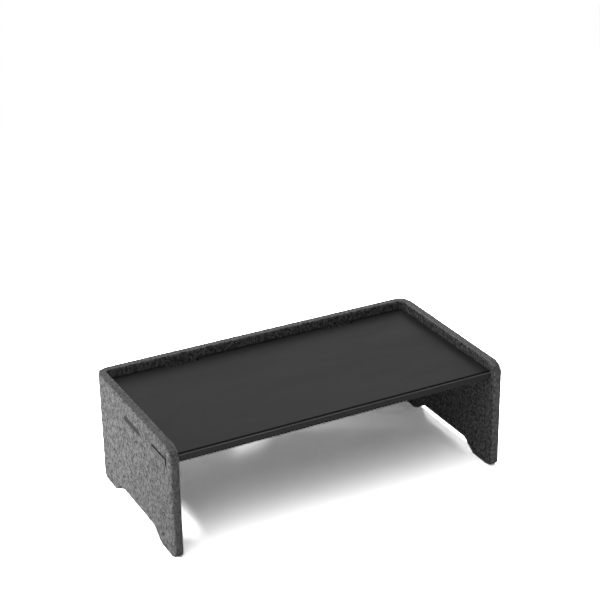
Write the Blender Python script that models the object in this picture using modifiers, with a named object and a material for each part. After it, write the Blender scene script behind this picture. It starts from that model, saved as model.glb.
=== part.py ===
"""Felt desk riser: a folded felt surround that carries a laminate shelf on four tongue plates.

The frame's origin is on the desk, under the middle of the surround's outline. +X runs to the right
along the open front, +Y points to the back wall and +Z is up. All sizes are in metres.
"""
from math import pi, radians, sin, tan

import bmesh
import bpy
from mathutils import Matrix, Vector

# Driving dimensions.
WIDTH = 0.500
DEPTH = 0.262
HEIGHT = 0.162
FELT = 0.012
GAP = 0.0003
OVERSHOOT = 0.010

# The surround's outline: rear corners folded round, front corners of the side walls cut round.
FOLD_RADIUS = 0.018
FRONT_TOP_RADIUS = 0.015
FRONT_FOOT_RADIUS = 0.010

# The low arch under each side wall leaves a front and a rear foot.
ARCH_CENTRE_Y = -0.004
ARCH_HEIGHT = 0.0143
ARCH_TOP_LENGTH = 0.114
ARCH_FOOT_LENGTH = 0.154
ARCH_RADIUS = 0.009

# The cable arch in the back wall.
CABLE_ARCH_HEIGHT = 0.042
CABLE_ARCH_TOP_WIDTH = 0.046
CABLE_ARCH_SLOPE = 0.5
CABLE_ARCH_RADIUS = 0.016

# The shelf and its front edge band.
SHELF_TOP = 0.149
SHELF_THICK = 0.012
SHELF_SETBACK = 0.010
BAND_THICK = 0.0034
BAND_TOP_RADIUS = 0.0028
BAND_FOOT_RADIUS = 0.001
NOTCH_CENTRE_X = 0.125
NOTCH_WIDTH = 0.050
NOTCH_DEPTH = 0.010
NOTCH_RADIUS = 0.002

# Tongue plates: let a little into the shelf's underside. Each has a wide head that fills a slot in the
# felt, and a narrower body under the shelf.
TONGUE_WIDTH = 0.045
TONGUE_BODY_WIDTH = 0.029
TONGUE_THICK = 0.009
TONGUE_HOUSED = 0.0032
TONGUE_LENGTH = 0.050
TONGUE_RADIUS = 0.0015
SIDE_TONGUE_Y = -0.0895
REAR_TONGUE_X = 0.185
SLOT_PLAY_ABOVE = 0.0027
SLOT_PLAY_BESIDE = 0.0034

# Countersunk screws that hold each tongue plate to the shelf.
SCREW_HEAD_RADIUS = 0.0036
SCREW_HEAD_DEPTH = 0.0022
SCREW_SHANK_RADIUS = 0.0018
SCREW_LENGTH = 0.014
SCREW_POINT = 0.0012
SCREW_HOLE_POINT = 0.0005
SCREW_INSETS = (0.014, 0.036)

# The blank badge pressed into the left wall.
BADGE_LENGTH = 0.054
BADGE_HEIGHT = 0.008
BADGE_THICK = 0.0008
BADGE_CENTRE_Y = -0.001
BADGE_CENTRE_Z = 0.1365
BADGE_ROUNDNESS = 0.98

# Points closer than this are one point.
MERGE = 0.00001

# Worked out from the driving dimensions.
INNER_X = WIDTH / 2 - FELT
INNER_Y = DEPTH / 2 - FELT
SHELF_BOTTOM = SHELF_TOP - SHELF_THICK
SHELF_HALF = INNER_X - GAP
SHELF_FRONT = -DEPTH / 2 + SHELF_SETBACK
SHELF_BACK = INNER_Y - GAP
TONGUE_TOP = SHELF_BOTTOM + TONGUE_HOUSED - GAP
TONGUE_BOTTOM = TONGUE_TOP - TONGUE_THICK

# How a flat outline is stood up: its own X, Y and Z become these row axes.
LYING = Matrix.Identity(4)
ACROSS_X = Matrix(((0, 0, 1), (1, 0, 0), (0, 1, 0))).to_4x4()
ACROSS_Y = Matrix.Rotation(pi / 2, 4, "X")


def clear_scene():
    """Remove what the new scene starts with."""
    for item in list(bpy.data.objects):
        bpy.data.objects.remove(item)


def new_collection(name):
    """Make a collection in the scene."""
    collection = bpy.data.collections.new(name)
    bpy.context.scene.collection.children.link(collection)
    return collection


def material(name, colour, roughness, metallic=0.0):
    """Make a Principled material."""
    made = bpy.data.materials.new(name)
    made.use_nodes = True
    shader = made.node_tree.nodes["Principled BSDF"]
    shader.inputs["Base Color"].default_value = (*colour, 1.0)
    shader.inputs["Roughness"].default_value = roughness
    shader.inputs["Metallic"].default_value = metallic
    return made


def rounded_outline(corners, steps=6):
    """Return the closed outline through corners, each (x, y, radius), with arcs at round corners."""
    points = []
    for index, (x, y, radius) in enumerate(corners):
        corner = Vector((x, y))
        if radius == 0:
            points.append(corner)
            continue
        before = (Vector(corners[index - 1][:2]) - corner).normalized()
        after = (Vector(corners[(index + 1) % len(corners)][:2]) - corner).normalized()
        half_angle = before.angle(after) / 2
        centre = corner + (before + after).normalized() * radius / sin(half_angle)
        start = corner + before * radius / tan(half_angle) - centre
        end = corner + after * radius / tan(half_angle) - centre
        for step in range(steps + 1):
            points.append(centre + start.slerp(end, step / steps).normalized() * radius)
    return points


def rectangle(low, high, radius=0.0):
    """Return the outline of a rectangle between two corners."""
    (x0, y0), (x1, y1) = low, high
    return rounded_outline([(x0, y0, radius), (x1, y0, radius), (x1, y1, radius), (x0, y1, radius)])


def mesh_from(source):
    """Turn an object, as the viewport evaluates it, into a welded mesh, and remove the object."""
    evaluated = source.evaluated_get(bpy.context.evaluated_depsgraph_get())
    mesh = bpy.data.meshes.new_from_object(evaluated)
    work = bmesh.new()
    work.from_mesh(mesh)
    bmesh.ops.remove_doubles(work, verts=work.verts, dist=MERGE)
    bmesh.ops.recalc_face_normals(work, faces=work.faces)
    work.to_mesh(mesh)
    work.free()
    bpy.data.objects.remove(source)
    return mesh


def slab_mesh(outline, low, high, stand=LYING):
    """Fill an outline and extrude it along its own Z, from low to high."""
    curve = bpy.data.curves.new("outline", "CURVE")
    curve.dimensions = "2D"
    curve.fill_mode = "BOTH"
    curve.extrude = (high - low) / 2
    spline = curve.splines.new("POLY")
    spline.points.add(len(outline) - 1)
    for point, (x, y) in zip(spline.points, outline):
        point.co = (x, y, 0, 1)
    spline.use_cyclic_u = True
    source = bpy.data.objects.new("outline", curve)
    bpy.context.scene.collection.objects.link(source)
    mesh = mesh_from(source)
    mesh.transform(stand @ Matrix.Translation((0, 0, (low + high) / 2)))
    return mesh


def turned_mesh(profile, steps=20):
    """Turn a profile of (radius, height) points, listed from top to bottom, about Z."""
    mesh = bpy.data.meshes.new("profile")
    edges = [(index, index + 1) for index in range(len(profile) - 1)]
    mesh.from_pydata([(radius, 0, height) for radius, height in profile], edges, [])
    source = bpy.data.objects.new("profile", mesh)
    bpy.context.scene.collection.objects.link(source)
    screw = source.modifiers.new("turn", "SCREW")
    screw.steps = steps
    screw.render_steps = steps
    screw.use_merge_vertices = True
    screw.merge_threshold = MERGE
    return mesh_from(source)


def place(name, mesh, collection, finish=None, location=(0, 0, 0), turn=0.0, parent=None):
    """Put a mesh in the scene as a named object."""
    item = bpy.data.objects.new(name, mesh)
    item.location = location
    item.rotation_euler.z = turn
    item.parent = parent
    collection.objects.link(item)
    if finish and not mesh.materials:
        mesh.materials.append(finish)
    return item


def cutter(name, mesh, collection):
    """Put a mesh in the scene as a guide that only Booleans use."""
    item = place(name, mesh, collection)
    item.hide_render = True
    item.display_type = "WIRE"
    return item


def combine(target, tool, operation):
    """Add an exact Boolean of target with tool."""
    boolean = target.modifiers.new(tool.name, "BOOLEAN")
    boolean.operation = operation
    boolean.solver = "EXACT"
    boolean.object = tool


def wall_plan():
    """Return the surround seen from above: three walls, run past the front for trimming."""
    outer = WIDTH / 2
    back = DEPTH / 2
    front = -DEPTH / 2 - OVERSHOOT
    return rounded_outline([
        (outer, front, 0), (outer, back, FOLD_RADIUS), (-outer, back, FOLD_RADIUS), (-outer, front, 0),
        (-INNER_X, front, 0), (-INNER_X, INNER_Y, 0), (INNER_X, INNER_Y, 0), (INNER_X, front, 0),
    ], steps=10)


def wall_side():
    """Return the surround seen from the side, run past the back for trimming: feet, arch and top."""
    front = -DEPTH / 2
    back = DEPTH / 2 + OVERSHOOT
    foot = ARCH_FOOT_LENGTH / 2
    top = ARCH_TOP_LENGTH / 2
    return rounded_outline([
        (front, 0, FRONT_FOOT_RADIUS),
        (ARCH_CENTRE_Y - foot, 0, ARCH_RADIUS), (ARCH_CENTRE_Y - top, ARCH_HEIGHT, ARCH_RADIUS),
        (ARCH_CENTRE_Y + top, ARCH_HEIGHT, ARCH_RADIUS), (ARCH_CENTRE_Y + foot, 0, ARCH_RADIUS),
        (back, 0, 0), (back, HEIGHT, 0), (front, HEIGHT, FRONT_TOP_RADIUS),
    ])


def cable_arch():
    """Return the opening at the foot of the back wall, run past the floor for cutting."""
    top = CABLE_ARCH_TOP_WIDTH / 2
    foot = top + CABLE_ARCH_SLOPE * (CABLE_ARCH_HEIGHT + OVERSHOOT)
    return rounded_outline([
        (-foot, -OVERSHOOT, 0), (foot, -OVERSHOOT, 0),
        (top, CABLE_ARCH_HEIGHT, CABLE_ARCH_RADIUS), (-top, CABLE_ARCH_HEIGHT, CABLE_ARCH_RADIUS),
    ])


def make_surround(parts, cutters, felt):
    """Make the folded felt surround with its feet, slots, cable arch and badge recess."""
    tall = slab_mesh(wall_plan(), -OVERSHOOT, HEIGHT + OVERSHOOT)
    surround = place("felt_surround", tall, parts, felt)
    reach = WIDTH / 2 + OVERSHOOT
    side = cutter("cut_side_outline", slab_mesh(wall_side(), -reach, reach, ACROSS_X), cutters)
    combine(surround, side, "INTERSECT")

    through = (DEPTH / 2 - FELT - OVERSHOOT, DEPTH / 2 + OVERSHOOT)
    arch = slab_mesh(cable_arch(), -through[1], -through[0], ACROSS_Y)
    combine(surround, cutter("cut_cable_arch", arch, cutters), "DIFFERENCE")

    low = TONGUE_BOTTOM - GAP
    high = TONGUE_TOP + SLOT_PLAY_ABOVE
    half = TONGUE_WIDTH / 2
    front = SIDE_TONGUE_Y - half - SLOT_PLAY_BESIDE
    side_slot = rectangle((front, low), (SIDE_TONGUE_Y + half + GAP, high))
    rear_half = half + SLOT_PLAY_BESIDE / 2
    rear_slot = rectangle((-rear_half, low), (rear_half, high))
    for name, sign in (("left", -1), ("right", 1)):
        ends = sorted((sign * (INNER_X - OVERSHOOT), sign * reach))
        slot = cutter(f"cut_{name}_slot", slab_mesh(side_slot, *ends, ACROSS_X), cutters)
        combine(surround, slot, "DIFFERENCE")
        rear_mesh = slab_mesh(rear_slot, -through[1], -through[0], ACROSS_Y)
        rear = cutter(f"cut_rear_{name}_slot", rear_mesh, cutters)
        rear.location.x = sign * REAR_TONGUE_X
        combine(surround, rear, "DIFFERENCE")

    recess = slab_mesh(badge_outline(GAP), -reach, -WIDTH / 2 + BADGE_THICK + GAP, ACROSS_X)
    combine(surround, cutter("cut_badge_recess", recess, cutters), "DIFFERENCE")


def badge_outline(clearance=0.0):
    """Return the badge's outline with fully round ends, in Y and Z."""
    half_length = BADGE_LENGTH / 2 + clearance
    half_height = BADGE_HEIGHT / 2 + clearance
    low = (BADGE_CENTRE_Y - half_length, BADGE_CENTRE_Z - half_height)
    high = (BADGE_CENTRE_Y + half_length, BADGE_CENTRE_Z + half_height)
    return rectangle(low, high, half_height * BADGE_ROUNDNESS)


def shelf_plan():
    """Return the shelf board seen from above, with two cable notches in its rear edge."""
    board_front = SHELF_FRONT + BAND_THICK
    corners = [(-SHELF_HALF, board_front, 0), (SHELF_HALF, board_front, 0), (SHELF_HALF, SHELF_BACK, 0)]
    floor = SHELF_BACK - NOTCH_DEPTH
    for centre in (NOTCH_CENTRE_X, -NOTCH_CENTRE_X):
        right = centre + NOTCH_WIDTH / 2
        left = centre - NOTCH_WIDTH / 2
        corners += [(right, SHELF_BACK, 0), (right, floor, NOTCH_RADIUS)]
        corners += [(left, floor, NOTCH_RADIUS), (left, SHELF_BACK, 0)]
    corners.append((-SHELF_HALF, SHELF_BACK, 0))
    return rounded_outline(corners)


def tongue_seats():
    """Return each tongue plate's name, the middle of its wall face and its turn about Z."""
    return [
        ("left_tongue", (-INNER_X, SIDE_TONGUE_Y), 0.0),
        ("right_tongue", (INNER_X, SIDE_TONGUE_Y), pi),
        ("rear_left_tongue", (-REAR_TONGUE_X, INNER_Y), radians(-90)),
        ("rear_right_tongue", (REAR_TONGUE_X, INNER_Y), radians(-90)),
    ]


def screw_spots():
    """Return where the screws stand in a tongue plate's own frame."""
    return [(inset, 0.0) for inset in SCREW_INSETS]


def make_shelf(parts, cutters, laminate, edging):
    """Make the shelf board, its housings for the tongue plates, and its front edge band."""
    shelf = place("shelf_board", slab_mesh(shelf_plan(), SHELF_BOTTOM, SHELF_TOP), parts, laminate)
    half = TONGUE_BODY_WIDTH / 2 + GAP
    housing = slab_mesh(
        rectangle((-OVERSHOOT, -half), (TONGUE_LENGTH + GAP, half)),
        SHELF_BOTTOM - OVERSHOOT, SHELF_BOTTOM + TONGUE_HOUSED,
    )
    top = TONGUE_BOTTOM + SCREW_LENGTH + 2 * GAP
    radius = SCREW_SHANK_RADIUS + GAP
    pilot = turned_mesh([(0, top), (radius, top), (radius, SHELF_BOTTOM), (0, SHELF_BOTTOM)])
    for name, (x, y), turn in tongue_seats():
        seat = cutter(f"cut_{name}_housing", housing, cutters)
        seat.location = (x, y, 0)
        seat.rotation_euler.z = turn
        combine(shelf, seat, "DIFFERENCE")
        for index, (along, across) in enumerate(screw_spots(), start=1):
            hole = cutter(f"cut_{name}_pilot_{index}", pilot, cutters)
            hole.parent = seat
            hole.location = (along, across, 0)
            combine(shelf, hole, "DIFFERENCE")

    band_back = SHELF_FRONT + BAND_THICK - GAP
    profile = rounded_outline([
        (SHELF_FRONT, SHELF_BOTTOM, BAND_FOOT_RADIUS), (band_back, SHELF_BOTTOM, 0),
        (band_back, SHELF_TOP, 0), (SHELF_FRONT, SHELF_TOP, BAND_TOP_RADIUS),
    ])
    place("front_edge_band", slab_mesh(profile, -SHELF_HALF, SHELF_HALF, ACROSS_X), parts, edging)


def screw_profile(clearance, head_end, shank_end, point):
    """Return a countersunk screw's outline, or with clearance the hole that it sits in."""
    head = SCREW_HEAD_RADIUS + clearance
    shank = SCREW_SHANK_RADIUS + clearance
    tip = [(0, shank_end), (shank - point, shank_end), (shank, shank_end - point)]
    return tip + [(shank, SCREW_HEAD_DEPTH), (head, 0), (head, head_end), (0, head_end)]


def tongue_plan():
    """Return a tongue plate seen from above: its head in the felt, then its body under the shelf."""
    head = TONGUE_WIDTH / 2
    body = TONGUE_BODY_WIDTH / 2
    shoulder = -GAP
    return rounded_outline([
        (-FELT, -head, TONGUE_RADIUS), (shoulder, -head, TONGUE_RADIUS), (shoulder, -body, 0),
        (TONGUE_LENGTH, -body, TONGUE_RADIUS), (TONGUE_LENGTH, body, TONGUE_RADIUS),
        (shoulder, body, 0), (shoulder, head, TONGUE_RADIUS), (-FELT, head, TONGUE_RADIUS),
    ])


def make_tongues(parts, cutters, plate, steel):
    """Make four tongue plates, each screwed up into the shelf, with its end flush in the felt."""
    blank = place("tongue_blank", slab_mesh(tongue_plan(), 0, TONGUE_THICK), cutters)
    hole_profile = screw_profile(GAP, -OVERSHOOT, TONGUE_THICK + OVERSHOOT, SCREW_HOLE_POINT)
    hole_mesh = turned_mesh(hole_profile)
    for index, (along, across) in enumerate(screw_spots(), start=1):
        hole = cutter(f"cut_screw_hole_{index}", hole_mesh, cutters)
        hole.location = (along, across, GAP)
        combine(blank, hole, "DIFFERENCE")
    bpy.context.view_layer.update()
    tongue_mesh = mesh_from(blank)
    screw_mesh = turned_mesh(screw_profile(0, -GAP / 2, SCREW_LENGTH, SCREW_POINT))

    for name, (x, y), turn in tongue_seats():
        tongue = place(name, tongue_mesh, parts, plate, (x, y, TONGUE_BOTTOM), turn)
        for index, (along, across) in enumerate(screw_spots(), start=1):
            spot = (along, across, 2 * GAP)
            place(f"{name}_screw_{index}", screw_mesh, parts, steel, spot, parent=tongue)


def make_badge(parts, finish):
    """Make the blank badge, flush with the left wall's outer face."""
    mesh = slab_mesh(badge_outline(), -WIDTH / 2, -WIDTH / 2 + BADGE_THICK, ACROSS_X)
    place("blank_badge", mesh, parts, finish)


def main():
    """Build every piece of the riser."""
    clear_scene()
    parts = new_collection("felt_desk_riser")
    cutters = new_collection("cutters")
    felt = material("grey_felt", (0.20, 0.20, 0.20), 1.0)
    laminate = material("charcoal_laminate", (0.022, 0.022, 0.023), 0.35)
    edging = material("charcoal_edging", (0.030, 0.030, 0.031), 0.40)
    plate = material("charcoal_board", (0.055, 0.055, 0.056), 0.55)
    steel = material("zinc_screw", (0.55, 0.55, 0.56), 0.35, 1.0)
    print_black = material("badge_black", (0.020, 0.020, 0.020), 0.60)
    make_surround(parts, cutters, felt)
    make_shelf(parts, cutters, laminate, edging)
    make_tongues(parts, cutters, plate, steel)
    make_badge(parts, print_black)


main()
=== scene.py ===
"""Looks of the felt desk riser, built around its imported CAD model.

The felt board is remeshed from the CAD solid into a soft-edged body with a slightly uneven nap. The
shelf, its edge band, the tongue plates and the badge are the CAD shapes with fine rounded edges, and
the screws get a cross recess and a thread. All sizes are in metres.
"""
from math import atan2, cos, pi, radians, sin

import bmesh
import bpy
import numpy as np
from mathutils import Matrix, Vector, noise


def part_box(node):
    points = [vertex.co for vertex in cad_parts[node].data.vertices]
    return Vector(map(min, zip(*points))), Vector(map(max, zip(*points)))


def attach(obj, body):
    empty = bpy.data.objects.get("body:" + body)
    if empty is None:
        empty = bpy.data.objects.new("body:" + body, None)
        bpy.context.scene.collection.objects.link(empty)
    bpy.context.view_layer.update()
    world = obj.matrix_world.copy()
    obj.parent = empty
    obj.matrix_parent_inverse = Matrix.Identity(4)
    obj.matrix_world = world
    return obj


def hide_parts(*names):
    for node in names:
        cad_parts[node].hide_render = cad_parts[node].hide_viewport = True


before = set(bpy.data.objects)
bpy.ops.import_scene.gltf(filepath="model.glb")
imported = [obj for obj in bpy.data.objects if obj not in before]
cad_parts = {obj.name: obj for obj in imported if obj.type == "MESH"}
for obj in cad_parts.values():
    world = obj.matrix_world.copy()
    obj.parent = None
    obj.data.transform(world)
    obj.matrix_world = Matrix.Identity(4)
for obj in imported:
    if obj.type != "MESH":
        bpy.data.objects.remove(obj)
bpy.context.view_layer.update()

MM = 0.001
GAP = 0.3 * MM                 # what the CAD model leaves between touching pieces
WELD = 0.01 * MM               # points of a CAD shape nearer than this are one point

# The camera: where it stands, how it is turned, and its lens.
CAMERA_PLACE = (-0.9239, -1.7832, 1.1740)
CAMERA_TURN = radians(-27.503)
CAMERA_DOWN = radians(24.407)
CAMERA_ROLL = radians(-0.843)
CAMERA_LENS = 97.57

# The felt board's body.
FELT_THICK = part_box("felt_surround")[1].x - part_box("shelf_board")[1].x - GAP
FOLD_RADIUS = 18 * MM          # outside radius of its two folds
FELT_CELL = 2.0 * MM           # cell size of the remeshed board
FELT_SMOOTHING = 3             # rounds of smoothing, and how far each one moves a point in and back
SMOOTH_IN = 0.55
SMOOTH_BACK = -0.40
NAP_DEPTH = 0.16 * MM          # fine unevenness of its faces
NAP_SIZE = 4.0 * MM
SAG_DEPTH = 0.25 * MM          # broad unevenness
SAG_SIZE = 55 * MM
FOOT_HEIGHT = 0.5 * MM         # the board stays even up to this height, so that it stands flat
SLOT_PLAY_ABOVE = 2.7 * MM     # slack above a tongue's end in its slot
SLOT_PLAY_BESIDE = 3.4 * MM    # and beside it
SEAT_DEPTHS = 3                # the badge seat's cutter is this many times as deep as the badge

# The felt's melange: its clumps, and the fibres over them.
CLUMP_SIZE = 4.5 * MM
TUFT_SIZE = 3.6 * MM           # patches in which pale or dark fibres prevail
SPECK_SIZE = 1.0 * MM
COMBED = (1.0, 1.0, 0.80)      # the clumps are a little longer upwards
FIBRE_WIDTH = 0.38 * MM
FIBRE_LENGTH = 5.0 * MM
FIBRE_BEND = 7.0 * MM          # the size of the curls, and how far they shift a fibre
FIBRE_SHIFT = 4.0 * MM
FIBRE_KINDS = 4                # directions of the pale fibres, and as many of the dark ones
FUZZ_DEPTH = 0.30 * MM
CUT_LAYERS = 0.9               # layers per millimetre in a cut edge

# Its greys, darkest and palest, on the faces and in the cut edges.
FACE_CLUMPS = (0.034, 0.375)
FACE_FIBRES = (0.030, 0.60)
CUT_CLUMPS = (0.120, 0.315)
CUT_FIBRES = (0.075, 0.44)
CUT_LAYER = 0.105

# How far the edges of the harder pieces are rounded.
BOARD_EDGE = 0.35 * MM
TRIM_EDGE = 0.30 * MM
PLATE_EDGE = 0.35 * MM
BADGE_EDGE = 0.25 * MM
EDGE_STEPS = 3
SHARP = radians(35)            # edges that turn by more than this are rounded
SLIVER = 0.002 * MM            # rounding leaves no points nearer together than this

FACING = 0.9                   # a face points along an axis when its normal has at least this part in it
NEAR = 1 * MM                  # and it lies on a side of the model when its middle is this near to it
SMOOTH_TURN = radians(50)      # edges that turn by less than this are shaded smoothly
FELT_SMOOTH_TURN = radians(60)

# Heights below the shelf's top between which the edge band's seam, painted near-black as shade, fades
# out, and its rounded arris, painted paler as a highlight, starts and ends.
SEAM = (1.2 * MM, 0.9 * MM)
ARRIS_START = (1.0 * MM, 1.3 * MM)
ARRIS_END = (2.8 * MM, 2.3 * MM)

# The studio: how large the floor is, how white for the light that it bounces and for the camera, how
# bright the white surroundings are as even light and in reflections, and where the softboxes aim.
FLOOR_SIZE = 3.4
FLOOR_BOUNCE = 0.80
FLOOR_SHOWN = 12.0
AMBIENT = 0.01
MIRRORED = 0.60
LIGHT_TARGET = (0, 0, 0.08)


# --- Materials -----------------------------------------------------------------------------------

class Finish:
    """Builds one procedural material: a Principled shader and the nodes that feed it."""

    def __init__(self, name, **values):
        self.material = bpy.data.materials.new(name)
        self.material.use_nodes = True
        self.tree = self.material.node_tree
        self.shader = self.tree.nodes["Principled BSDF"]
        self.place = self.node("TexCoord").outputs["Object"]
        for socket, value in values.items():
            self.shader.inputs[socket.replace("_", " ")].default_value = value

    def node(self, kind, inputs=(), **settings):
        """Add a node; inputs are (socket, value or output) pairs."""
        made = self.tree.nodes.new("ShaderNode" + kind)
        for key, value in settings.items():
            setattr(made, key, value)
        for socket, value in inputs:
            self.put(made.inputs[socket], value)
        return made

    def put(self, socket, value):
        """Set a socket, or link it when the value is another node's output."""
        if isinstance(value, bpy.types.NodeSocket):
            self.tree.links.new(value, socket)
        else:
            socket.default_value = value

    def drive(self, socket, value):
        """Feed one of the shader's own sockets."""
        self.put(self.shader.inputs[socket], value)

    def stretched(self, scale):
        """Object coordinates with each axis scaled."""
        return self.node("Mapping", [(0, self.place), ("Scale", scale)]).outputs[0]

    def noise(self, size, detail=2.0, rough=0.5, place=None):
        """Noise with features of about this size."""
        made = self.node("TexNoise", [(0, place or self.place)])
        made.inputs["Scale"].default_value = 1 / size
        made.inputs["Detail"].default_value = detail
        made.inputs["Roughness"].default_value = rough
        return made.outputs[0]

    def math(self, operation, a, b=0.0):
        """One math node."""
        return self.node("Math", [(0, a), (1, b)], operation=operation).outputs[0]

    def span(self, value, low, high, to_low=0.0, to_high=1.0):
        """Map low..high onto to_low..to_high, clamped and eased."""
        pairs = [(0, value), (1, low), (2, high), (3, to_low), (4, to_high)]
        return self.node("MapRange", pairs, interpolation_type="SMOOTHSTEP").outputs[0]

    def blend(self, factor, a, b):
        """Mix two colours."""
        made = self.node("Mix", [(0, factor)], data_type="RGBA")
        self.put(made.inputs[6], a)
        self.put(made.inputs[7], b)
        return made.outputs[2]

    def bump(self, height, depth):
        """Turn a height of 0..1 into a normal."""
        return self.node("Bump", [("Height", height), ("Distance", depth)]).outputs[0]


def grey(value, warmth=0.0):
    """A near-neutral colour."""
    return (value * (1 + warmth), value, value * (1 - warmth), 1.0)


def sheet_depth(felt, outer, inner):
    """How many millimetres a point lies under the nearer of the folded sheet's two faces."""
    x, y, _ = felt.node("SeparateXYZ", [(0, felt.place)]).outputs
    flat = felt.node("CombineXYZ", [(0, felt.math("ABSOLUTE", x)), (1, y)]).outputs[0]

    def past(corner):
        """Distance past a corner in x, y or both."""
        beyond = felt.node("VectorMath", [(0, flat), (1, corner)], operation="SUBTRACT").outputs[0]
        beyond = felt.node("VectorMath", [(0, beyond), (1, (0, 0, 0))], operation="MAXIMUM").outputs[0]
        return felt.node("VectorMath", [(0, beyond)], operation="LENGTH").outputs["Value"]

    fold_centre = (outer.x - FOLD_RADIUS, outer.y - FOLD_RADIUS, 0)
    from_outside = felt.math("SUBTRACT", FOLD_RADIUS, past(fold_centre))
    from_inside = past((inner.x, inner.y, 0))
    return felt.math("MULTIPLY", felt.math("MINIMUM", from_outside, from_inside), 1 / MM)


def fibres(felt, place, first):
    """Thin streaks in several directions, 0..1; first picks the directions."""
    size = (FIBRE_WIDTH, FIBRE_WIDTH, FIBRE_LENGTH)
    streaks = 0.0
    for index in range(first, first + FIBRE_KINDS):
        turn = (radians(37 * index), radians(61 * index + 20), radians(83 * index))
        inputs = [(0, place), ("Rotation", turn), ("Scale", size)]
        along = felt.node("Mapping", inputs, vector_type="TEXTURE").outputs[0]
        streak = felt.span(felt.noise(1.0, 0.0, 0.5, along), 0.55, 0.67)
        streaks = felt.math("MAXIMUM", streak, streaks)
    return streaks


def felt_finish(outer, inner):
    """Pressed melange felt: pale and dark fibres over clumps; cut edges are darker and layered."""
    felt = Finish("melange_felt", Roughness=0.95, Sheen_Weight=0.05, Sheen_Roughness=0.6)
    felt.shader.inputs["Specular IOR Level"].default_value = 0.04
    combed = felt.stretched(COMBED)
    clumps = felt.noise(CLUMP_SIZE, 5.0, 0.80, combed)
    specks = felt.noise(SPECK_SIZE, 2.0, 0.55, combed)
    tufts = felt.noise(TUFT_SIZE, 4.0, 0.75, combed)
    wander = felt.node("TexNoise", [(0, felt.place), ("Scale", 1 / FIBRE_BEND)]).outputs["Color"]
    shifted = [(0, wander), (1, (FIBRE_SHIFT,) * 3), (2, felt.place)]
    bent = felt.node("VectorMath", shifted, operation="MULTIPLY_ADD").outputs[0]
    pale = fibres(felt, bent, 0)
    dark = fibres(felt, bent, FIBRE_KINDS)
    pale = felt.math("MULTIPLY", pale, felt.span(tufts, 0.40, 0.62, 0.12, 1.0))
    dark = felt.math("MULTIPLY", dark, felt.span(tufts, 0.60, 0.38, 0.12, 1.0))

    face = felt.blend(felt.span(clumps, 0.39, 0.61), grey(FACE_CLUMPS[0]), grey(FACE_CLUMPS[1]))
    face = felt.blend(felt.math("MULTIPLY", dark, 0.80), face, grey(FACE_FIBRES[0]))
    face = felt.blend(felt.math("MULTIPLY", pale, 0.85), face, grey(FACE_FIBRES[1]))

    depth = sheet_depth(felt, outer, inner)
    across = felt.math("MULTIPLY", depth, CUT_LAYERS)
    waves = felt.noise(25 * MM, 1.0)
    strata = felt.node("CombineXYZ", [(0, across), (1, waves)]).outputs[0]
    layers = felt.noise(1.0, 2.0, 0.5, strata)
    cut = felt.blend(felt.span(clumps, 0.38, 0.62), grey(CUT_CLUMPS[0]), grey(CUT_CLUMPS[1]))
    cut = felt.blend(felt.span(layers, 0.35, 0.65, 0.0, 0.35), cut, grey(CUT_LAYER))
    cut = felt.blend(felt.math("MULTIPLY", dark, 0.45), cut, grey(CUT_FIBRES[0]))
    cut = felt.blend(felt.math("MULTIPLY", pale, 0.60), cut, grey(CUT_FIBRES[1]))
    ragged = felt.math("ADD", depth, felt.span(clumps, 0.35, 0.65, -0.8, 0.8))
    felt.drive("Base Color", felt.blend(felt.span(ragged, 0.6, 2.2), face, cut))

    fuzz = felt.math("ADD", felt.math("MULTIPLY", pale, 0.5), felt.math("MULTIPLY", specks, 0.5))
    felt.drive("Normal", felt.bump(fuzz, FUZZ_DEPTH))
    return felt.material


def laminate_finish():
    """Satin charcoal laminate: a very fine pearl texture with faint wiping marks."""
    skin = Finish("charcoal_laminate")
    skin.shader.inputs["Specular IOR Level"].default_value = 0.30
    wiped = skin.noise(60 * MM, 3.0, 0.6, skin.stretched((0.35, 1.0, 1.0)))
    pearl = skin.noise(0.9 * MM, 2.0, 0.5)
    skin.drive("Base Color", skin.blend(skin.span(pearl, 0.35, 0.65), grey(0.017), grey(0.026)))
    skin.drive("Roughness", skin.span(wiped, 0.3, 0.7, 0.36, 0.44))
    skin.drive("Normal", skin.bump(pearl, 0.02 * MM))
    return skin.material


def core_finish(low, high):
    """The board's bare rim: black-dyed fibreboard between two thin laminate skins."""
    core = Finish("board_core", Roughness=0.75)
    core.shader.inputs["Specular IOR Level"].default_value = 0.30
    z = core.node("SeparateXYZ", [(0, core.place)]).outputs[2]
    from_middle = core.math("ABSOLUTE", core.math("SUBTRACT", z, (low + high) / 2))
    half = (high - low) / 2
    skin = core.span(from_middle, half - 0.9 * MM, half - 0.7 * MM)
    chips = core.noise(0.8 * MM, 3.0, 0.6)
    fibre = core.blend(core.span(chips, 0.35, 0.65), grey(0.022, 0.06), grey(0.050, 0.06))
    core.drive("Base Color", core.blend(skin, fibre, grey(0.016)))
    core.drive("Normal", core.bump(chips, 0.08 * MM))
    return core.material


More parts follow.
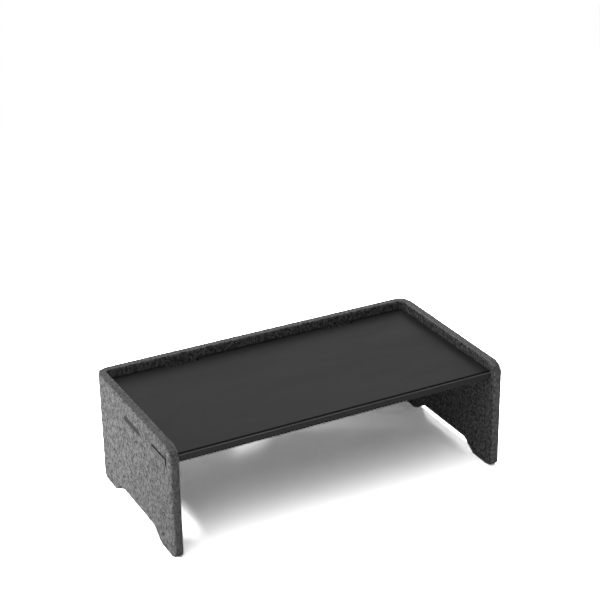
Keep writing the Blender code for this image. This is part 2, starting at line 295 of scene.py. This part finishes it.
def edging_finish(top):
    """Moulded edge band: matt, black with painted shade at the top seam, a painted highlight on its
    arris.
    """
    band = Finish("charcoal_edging")
    band.shader.inputs["Specular IOR Level"].default_value = 0.16
    grain = band.noise(0.7 * MM, 2.0, 0.5, band.stretched((0.5, 1.0, 1.0)))
    # Broad noise that varies how strong the painted highlight is along the band.
    highlight_patches = band.noise(80 * MM, 2.0, 0.5)
    below = band.math("SUBTRACT", top, band.node("SeparateXYZ", [(0, band.place)]).outputs[2])
    # The rounded arris gets a painted highlight: a paler grey stripe.
    arris = band.math("MULTIPLY", band.span(below, *ARRIS_START), band.span(below, *ARRIS_END))
    painted_highlight = band.math("MULTIPLY", arris, band.span(highlight_patches, 0.3, 0.7, 0.7, 1.0))
    tone = band.blend(band.span(grain, 0.3, 0.7), grey(0.058), grey(0.078))
    tone = band.blend(painted_highlight, tone, grey(0.240))
    # The seam on top gets painted shade: near-black, fading out below it.
    tone = band.blend(band.span(below, *SEAM), tone, grey(0.002))
    band.drive("Base Color", tone)
    band.drive("Roughness", band.span(below, *ARRIS_START, 0.75, 0.42))
    band.drive("Normal", band.bump(grain, 0.03 * MM))
    return band.material


def cap_finish():
    """The grey edging on a tongue plate's end: even, matt, with a fine orange-peel surface."""
    plate = Finish("grey_cap", Roughness=0.6)
    plate.shader.inputs["Specular IOR Level"].default_value = 0.35
    peel = plate.noise(1.6 * MM, 2.0, 0.5)
    dust = plate.noise(14 * MM, 3.0, 0.6)
    plate.drive("Base Color", plate.blend(plate.span(dust, 0.3, 0.7), grey(0.185), grey(0.225)))
    plate.drive("Normal", plate.bump(peel, 0.05 * MM))
    return plate.material


def steel_finish():
    """Zinc-plated screws: dull silver with cloudy roughness."""
    steel = Finish("zinc_steel", Metallic=1.0)
    cloudy = steel.noise(1.5 * MM, 3.0, 0.6)
    steel.drive("Base Color", steel.blend(steel.span(cloudy, 0.3, 0.7), grey(0.50), grey(0.62, -0.02)))
    steel.drive("Roughness", steel.span(cloudy, 0.3, 0.7, 0.26, 0.42))
    steel.drive("Normal", steel.bump(cloudy, 0.02 * MM))
    return steel.material


def badge_finish():
    """Blank rubbery badge: matt black with a fine grain."""
    badge = Finish("badge_black", Roughness=0.62)
    grain = badge.noise(0.5 * MM, 2.0, 0.5)
    wear = badge.noise(5 * MM, 3.0, 0.6)
    badge.drive("Base Color", badge.blend(badge.span(wear, 0.3, 0.7), grey(0.022), grey(0.036)))
    badge.drive("Normal", badge.bump(grain, 0.04 * MM))
    return badge.material


# --- Shapes --------------------------------------------------------------------------------------

def new_piece(name, mesh, finish, node, smooth=SMOOTH_TURN, flat_faces=True):
    """Show a mesh in place of a CAD node; flat_faces keeps its broad faces evenly shaded.

    The finish is for a mesh that has no material of its own yet.
    """
    piece = bpy.data.objects.new(name, mesh)
    bpy.context.scene.collection.objects.link(piece)
    if not mesh.materials:
        mesh.materials.append(finish)
    mesh.shade_smooth()
    mesh.set_sharp_from_angle(angle=smooth)
    if flat_faces:
        weigh = piece.modifiers.new("flat_faces", "WEIGHTED_NORMAL")
        weigh.keep_sharp = True
    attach(piece, "root")
    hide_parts(node)
    return piece


def cad_shape(node):
    """The CAD node's shape with its triangles joined back into flat faces."""
    work = bmesh.new()
    work.from_mesh(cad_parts[node].data)
    bmesh.ops.remove_doubles(work, verts=work.verts, dist=WELD)
    bmesh.ops.dissolve_limit(work, angle_limit=radians(1), verts=work.verts, edges=work.edges)
    return work


def rounded(node, width):
    """The CAD node's shape with its sharp edges rounded."""
    work = cad_shape(node)
    sharp = [edge for edge in work.edges if edge.calc_face_angle(0) > SHARP]
    bmesh.ops.bevel(work, geom=sharp, offset=width, segments=EDGE_STEPS, profile=0.5,
                    affect="EDGES", clamp_overlap=True)
    bmesh.ops.remove_doubles(work, verts=work.verts, dist=SLIVER)
    mesh = bpy.data.meshes.new(node + "_rounded")
    work.to_mesh(mesh)
    work.free()
    return mesh


def add_box(work, low, high):
    """Add a closed box between two corners."""
    size = Vector(high) - Vector(low)
    spot = Matrix.Translation((Vector(low) + Vector(high)) / 2)
    bmesh.ops.create_cube(work, size=1, matrix=spot @ Matrix.Diagonal((*size, 1)))


def slot_boxes(margin, past_faces):
    """The four tongue slots as boxes, grown by a margin and by how far they pass the board's faces."""
    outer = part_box("felt_surround")[1]
    boxes = []
    for side in ("left", "right", "rear_left", "rear_right"):
        low, high = (Vector(corner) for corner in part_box(side + "_tongue"))
        low.z -= GAP + margin
        high.z += SLOT_PLAY_ABOVE + margin
        if "rear" in side:
            middle = (low.x + high.x) / 2
            half = (high.x - low.x + SLOT_PLAY_BESIDE) / 2 + margin
            low.x, high.x = middle - half, middle + half
            low.y, high.y = outer.y - FELT_THICK - past_faces, outer.y + past_faces
        else:
            low.y -= SLOT_PLAY_BESIDE + margin
            high.y += GAP + margin
            sign = 1 if low.x > 0 else -1
            inside = sign * (outer.x - FELT_THICK - past_faces)
            outside = sign * (outer.x + past_faces)
            low.x, high.x = sorted((inside, outside))
        boxes.append((low, high))
    return boxes


def solid_board():
    """The CAD surround as a mesh with its slots and badge recess filled in, to be cut again later."""
    work = bmesh.new()
    work.from_mesh(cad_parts["felt_surround"].data)
    for low, high in slot_boxes(FELT_CELL, 0):
        add_box(work, low, high)
    low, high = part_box("blank_badge")
    spare = Vector((0, 1, 1)) * FELT_CELL
    add_box(work, low - spare, high + spare + Vector((FELT_CELL, 0, 0)))
    mesh = bpy.data.meshes.new("felt_source")
    work.to_mesh(mesh)
    work.free()
    return mesh


def board_cutters():
    """What is cut out of the finished board: the four slots and the shallow seat of the badge."""
    work = bmesh.new()
    for low, high in slot_boxes(0, FELT_CELL):
        add_box(work, low, high)
    low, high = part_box("blank_badge")
    middle = (low + high) / 2
    scale = [(length + 2 * GAP) / length for length in high - low]
    scale[0] *= SEAT_DEPTHS
    grow = Matrix.Translation(middle) @ Matrix.Diagonal((*scale, 1)) @ Matrix.Translation(-middle)
    seat = bmesh.new()
    seat.from_mesh(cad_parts["blank_badge"].data)
    bmesh.ops.transform(seat, matrix=grow, verts=seat.verts)
    deepest = max(vert.co.x for vert in seat.verts)
    bmesh.ops.translate(seat, vec=(high.x + GAP - deepest, 0, 0), verts=seat.verts)
    mesh = bpy.data.meshes.new("felt_cutters")
    seat.to_mesh(mesh)
    seat.free()
    work.from_mesh(mesh)
    work.to_mesh(mesh)
    work.free()
    return mesh


def with_modifier(name, mesh, kind, **settings):
    """A copy of the mesh with one modifier applied."""
    piece = bpy.data.objects.new(name, mesh)
    bpy.context.scene.collection.objects.link(piece)
    modifier = piece.modifiers.new(name, kind)
    for key, value in settings.items():
        setattr(modifier, key, value)
    bpy.context.view_layer.update()
    evaluated = piece.evaluated_get(bpy.context.evaluated_depsgraph_get())
    result = bpy.data.meshes.new_from_object(evaluated)
    bpy.data.objects.remove(piece)
    return result


def smoothed(points, edges):
    """Move each point part of the way to its neighbours' middle, and partly back again."""
    first, second = edges[:, 0], edges[:, 1]
    count = np.bincount(np.concatenate([first, second]), minlength=len(points))[:, None]
    for strength in (SMOOTH_IN, SMOOTH_BACK) * FELT_SMOOTHING:
        total = np.zeros_like(points)
        np.add.at(total, first, points[second])
        np.add.at(total, second, points[first])
        points = points + strength * (total / count - points)
    return points


def read(items, key, width, kind=float):
    """A mesh's numbers as an array of rows."""
    values = np.empty(len(items) * width, dtype=kind)
    items.foreach_get(key, values)
    return values.reshape(-1, width)


def soft_board():
    """The surround remeshed finely, with softened edges and a nap on its faces, and no slots yet."""
    mesh = with_modifier("felt_grid", solid_board(), "REMESH", mode="VOXEL", voxel_size=FELT_CELL)
    points = smoothed(read(mesh.vertices, "co", 3), read(mesh.edges, "vertices", 2, np.int32))
    mesh.vertices.foreach_set("co", points.ravel())
    mesh.update()
    normals = read(mesh.vertices, "normal", 3)
    nap = np.array([noise.noise(Vector(point) / NAP_SIZE) for point in points])
    sag = np.array([noise.noise(Vector(point) / SAG_SIZE) for point in points])
    lift = NAP_DEPTH * (nap - 1) / 2 + SAG_DEPTH * (sag - 1) / 2
    lift[points[:, 2] < FOOT_HEIGHT] = 0
    points = points + normals * lift[:, None]
    points[:, 2] = np.maximum(points[:, 2], 0)
    mesh.vertices.foreach_set("co", points.ravel())
    mesh.update()
    return mesh


def felt_board():
    """The felt surround, with its slots and the badge's seat cut out."""
    cutter = bpy.data.objects.new("felt_cutter", board_cutters())
    bpy.context.scene.collection.objects.link(cutter)
    mesh = with_modifier("felt_cut", soft_board(), "BOOLEAN", object=cutter, solver="EXACT")
    bpy.data.objects.remove(cutter)
    mesh.name = "felt_board"
    mesh.materials.clear()
    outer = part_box("felt_surround")[1]
    inner = outer - Vector((1, 1, 0)) * FELT_THICK
    felt = felt_finish(outer, inner)
    new_piece("felt_board", mesh, felt, "felt_surround", FELT_SMOOTH_TURN, flat_faces=False)


def shelf_panel():
    """The laminate shelf: satin faces and a bare core rim."""
    low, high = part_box("shelf_board")
    mesh = rounded("shelf_board", BOARD_EDGE)
    mesh.materials.append(laminate_finish())
    mesh.materials.append(core_finish(low.z, high.z))
    for face in mesh.polygons:
        is_rim = abs(face.normal.z) < 0.5
        is_front = face.center.y < low.y + NEAR
        face.material_index = 1 if is_rim and not is_front else 0
    new_piece("shelf_panel", mesh, None, "shelf_board")


def screw_mesh(length, head_radius):
    """A countersunk screw, head down: a cross recess in the head and a thread on the shank."""
    sides = 24
    shank = head_radius / 2
    root = shank * 0.78
    head = head_radius - shank
    rim = 0.08 * MM
    pitch = 1.6 * MM
    step = pitch / 8
    point = 0.25
    work = bmesh.new()

    def radius_at(height, angle):
        """The outline: a cone, then a thread that grows out of the neck and tapers at the point."""
        if height < head:
            return head_radius - height
        turn = (height / pitch - angle / (2 * pi)) % 1
        crest = max(0.0, 1 - abs(turn - 0.5) * 4)
        grown = min(1.0, (height - head) / pitch)
        taper = min(1.0, (length - height) / (1.5 * pitch))
        thread = root + (shank - root) * crest
        return (shank + (thread - shank) * grown) * (point + (1 - point) * taper)

    heights = [0.0, rim] + [rim + step * index for index in range(1, int(length / step))]
    heights.append(length)
    rings = []
    for height in heights:
        ring = []
        for side in range(sides):
            angle = 2 * pi * side / sides
            radius = radius_at(height, angle)
            ring.append(work.verts.new((radius * cos(angle), radius * sin(angle), height)))
        rings.append(ring)
    for lower, upper in zip(rings, rings[1:]):
        for side in range(sides):
            after = (side + 1) % sides
            work.faces.new((lower[side], lower[after], upper[after], upper[side]))
    work.faces.new(rings[-1])
    recess(work, rings[0], head_radius)
    mesh = bpy.data.meshes.new("screw")
    bmesh.ops.recalc_face_normals(work, faces=work.faces)
    work.to_mesh(mesh)
    work.free()
    return mesh


def recess(work, rim, head_radius):
    """Close the head with a face that has a tapered cross sunk into it."""
    arm = head_radius * 0.62
    half = head_radius * 0.13
    depth = head_radius * 0.55
    narrowing = 0.5
    corners = ((arm, -half, 0), (arm, half, 0), (half, half, 0))
    outline = []
    for quarter in range(4):
        turn = Matrix.Rotation(quarter * pi / 2, 3, "Z")
        outline += [turn @ Vector(corner) for corner in corners]
    top = [work.verts.new(spot) for spot in outline]
    bottom = [work.verts.new((spot.x * narrowing, spot.y * narrowing, depth)) for spot in outline]
    count = len(outline)
    for index in range(count):
        after = (index + 1) % count
        work.faces.new((top[index], top[after], bottom[after], bottom[index]))
    work.faces.new(bottom)

    def side_of(vert):
        return atan2(vert.co.y, vert.co.x) % (2 * pi)

    edges = []
    for loop in (sorted(rim, key=side_of), sorted(top, key=side_of)):
        for pair in zip(loop, loop[1:] + loop[:1]):
            edges.append(work.edges.get(pair) or work.edges.new(pair))
    bmesh.ops.triangle_fill(work, use_beauty=True, edges=edges)


def screws():
    """Give every screw its recess and thread; all are alike, so they share one mesh."""
    steel = steel_finish()
    nodes = sorted(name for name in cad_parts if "_screw_" in name)
    low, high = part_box(nodes[0])
    shared = screw_mesh(high.z - low.z, (high.x - low.x) / 2)
    for node in nodes:
        low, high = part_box(node)
        piece = new_piece(node + "_threaded", shared, steel, node)
        piece.matrix_world = Matrix.Translation(((low.x + high.x) / 2, (low.y + high.y) / 2, low.z))


def hard_pieces():
    """The edge band, the four tongue plates and the badge."""
    band = edging_finish(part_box("front_edge_band")[1].z)
    new_piece("edge_trim", rounded("front_edge_band", TRIM_EDGE), band, "front_edge_band")
    black = laminate_finish()
    cap = cap_finish()
    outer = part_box("felt_surround")[1]
    for side in ("left", "right", "rear_left", "rear_right"):
        node = side + "_tongue"
        mesh = rounded(node, PLATE_EDGE)
        mesh.materials.append(black)
        mesh.materials.append(cap)
        for face in mesh.polygons:
            at_side = abs(face.center.x) > outer.x - NEAR and abs(face.normal.x) > FACING
            at_rear = face.center.y > outer.y - NEAR and face.normal.y > FACING
            face.material_index = 1 if at_side or at_rear else 0
        new_piece(node + "_plate", mesh, None, node)
    badge = rounded("blank_badge", BADGE_EDGE)
    new_piece("badge_pill", badge, badge_finish(), "blank_badge")


# --- Stage ---------------------------------------------------------------------------------------

def make_camera():
    """Stand the camera at the view of the front, left and top."""
    data = bpy.data.cameras.new("camera")
    data.lens = CAMERA_LENS
    data.sensor_width = 36
    camera = bpy.data.objects.new("camera", data)
    bpy.context.scene.collection.objects.link(camera)
    turn = Matrix.Rotation(CAMERA_TURN, 4, "Z") @ Matrix.Rotation(pi / 2 - CAMERA_DOWN, 4, "X")
    roll = Matrix.Rotation(CAMERA_ROLL, 4, "Z")
    camera.matrix_world = Matrix.Translation(CAMERA_PLACE) @ turn @ roll
    bpy.context.scene.camera = camera


def make_floor():
    """A plain white floor, shown so brightly to the camera that only the riser's shade is seen."""
    work = bmesh.new()
    bmesh.ops.create_grid(work, x_segments=1, y_segments=1, size=FLOOR_SIZE / 2)
    mesh = bpy.data.meshes.new("floor")
    work.to_mesh(mesh)
    work.free()
    floor = bpy.data.objects.new("floor", mesh)
    bpy.context.scene.collection.objects.link(floor)
    white = bpy.data.materials.new("white_floor")
    white.use_nodes = True
    tree = white.node_tree
    tree.nodes.clear()
    diffuse = tree.nodes.new("ShaderNodeBsdfDiffuse")
    output = tree.nodes.new("ShaderNodeOutputMaterial")
    path = tree.nodes.new("ShaderNodeLightPath")
    shown = tree.nodes.new("ShaderNodeMix")
    shown.data_type = "RGBA"
    shown.inputs[6].default_value = grey(FLOOR_BOUNCE)
    shown.inputs[7].default_value = grey(FLOOR_SHOWN)
    tree.links.new(path.outputs["Is Camera Ray"], shown.inputs[0])
    tree.links.new(shown.outputs[2], diffuse.inputs["Color"])
    tree.links.new(diffuse.outputs[0], output.inputs["Surface"])
    mesh.materials.append(white)


def softbox(name, place, width, height, power, mirrored=True):
    """A rectangular area light aimed at the riser, unseen by the camera but mirrored if wanted."""
    data = bpy.data.lights.new(name, "AREA")
    data.shape = "RECTANGLE"
    data.size = width
    data.size_y = height
    data.energy = power
    light = bpy.data.objects.new(name, data)
    bpy.context.scene.collection.objects.link(light)
    aim = (Vector(LIGHT_TARGET) - Vector(place)).to_track_quat("-Z", "Y").to_matrix().to_4x4()
    light.matrix_world = Matrix.Translation(place) @ aim
    light.visible_camera = False
    light.visible_glossy = mirrored


def make_world():
    """Surroundings that are white to the camera, less so in reflections, and give a faint even light."""
    world = bpy.data.worlds.new("white_studio")
    world.use_nodes = True
    tree = world.node_tree
    background = tree.nodes["Background"]
    background.inputs["Color"].default_value = grey(1.0)
    path = tree.nodes.new("ShaderNodeLightPath")
    mirrored = tree.nodes.new("ShaderNodeMix")
    mirrored.inputs[2].default_value = AMBIENT
    mirrored.inputs[3].default_value = MIRRORED
    tree.links.new(path.outputs["Is Glossy Ray"], mirrored.inputs[0])
    seen = tree.nodes.new("ShaderNodeMix")
    seen.inputs[3].default_value = 1.0
    tree.links.new(path.outputs["Is Camera Ray"], seen.inputs[0])
    tree.links.new(mirrored.outputs[0], seen.inputs[2])
    tree.links.new(seen.outputs[0], background.inputs["Strength"])
    bpy.context.scene.world = world


def make_lights():
    """Softboxes: two behind, one overhead, and two thin ones near the floor, at the left and in front."""
    softbox("rear_right", (1.07, 1.19, 0.89), width=0.60, height=0.45, power=2.1, mirrored=False)
    softbox("rear_high", (0.15, 1.10, 1.90), width=0.90, height=0.50, power=18, mirrored=False)
    softbox("overhead", (-0.60, -0.30, 1.60), width=1.90, height=2.40, power=6.5)
    softbox("left_low", (-0.74, 0.17, 0.142), width=0.60, height=0.034, power=1.9)
    softbox("front_low", (0.0, -1.10, 0.06), width=0.90, height=0.11, power=1.4)


bpy.context.scene.view_settings.view_transform = "Standard"
make_camera()
make_floor()
make_world()
make_lights()
felt_board()
shelf_panel()
hard_pieces()
screws()
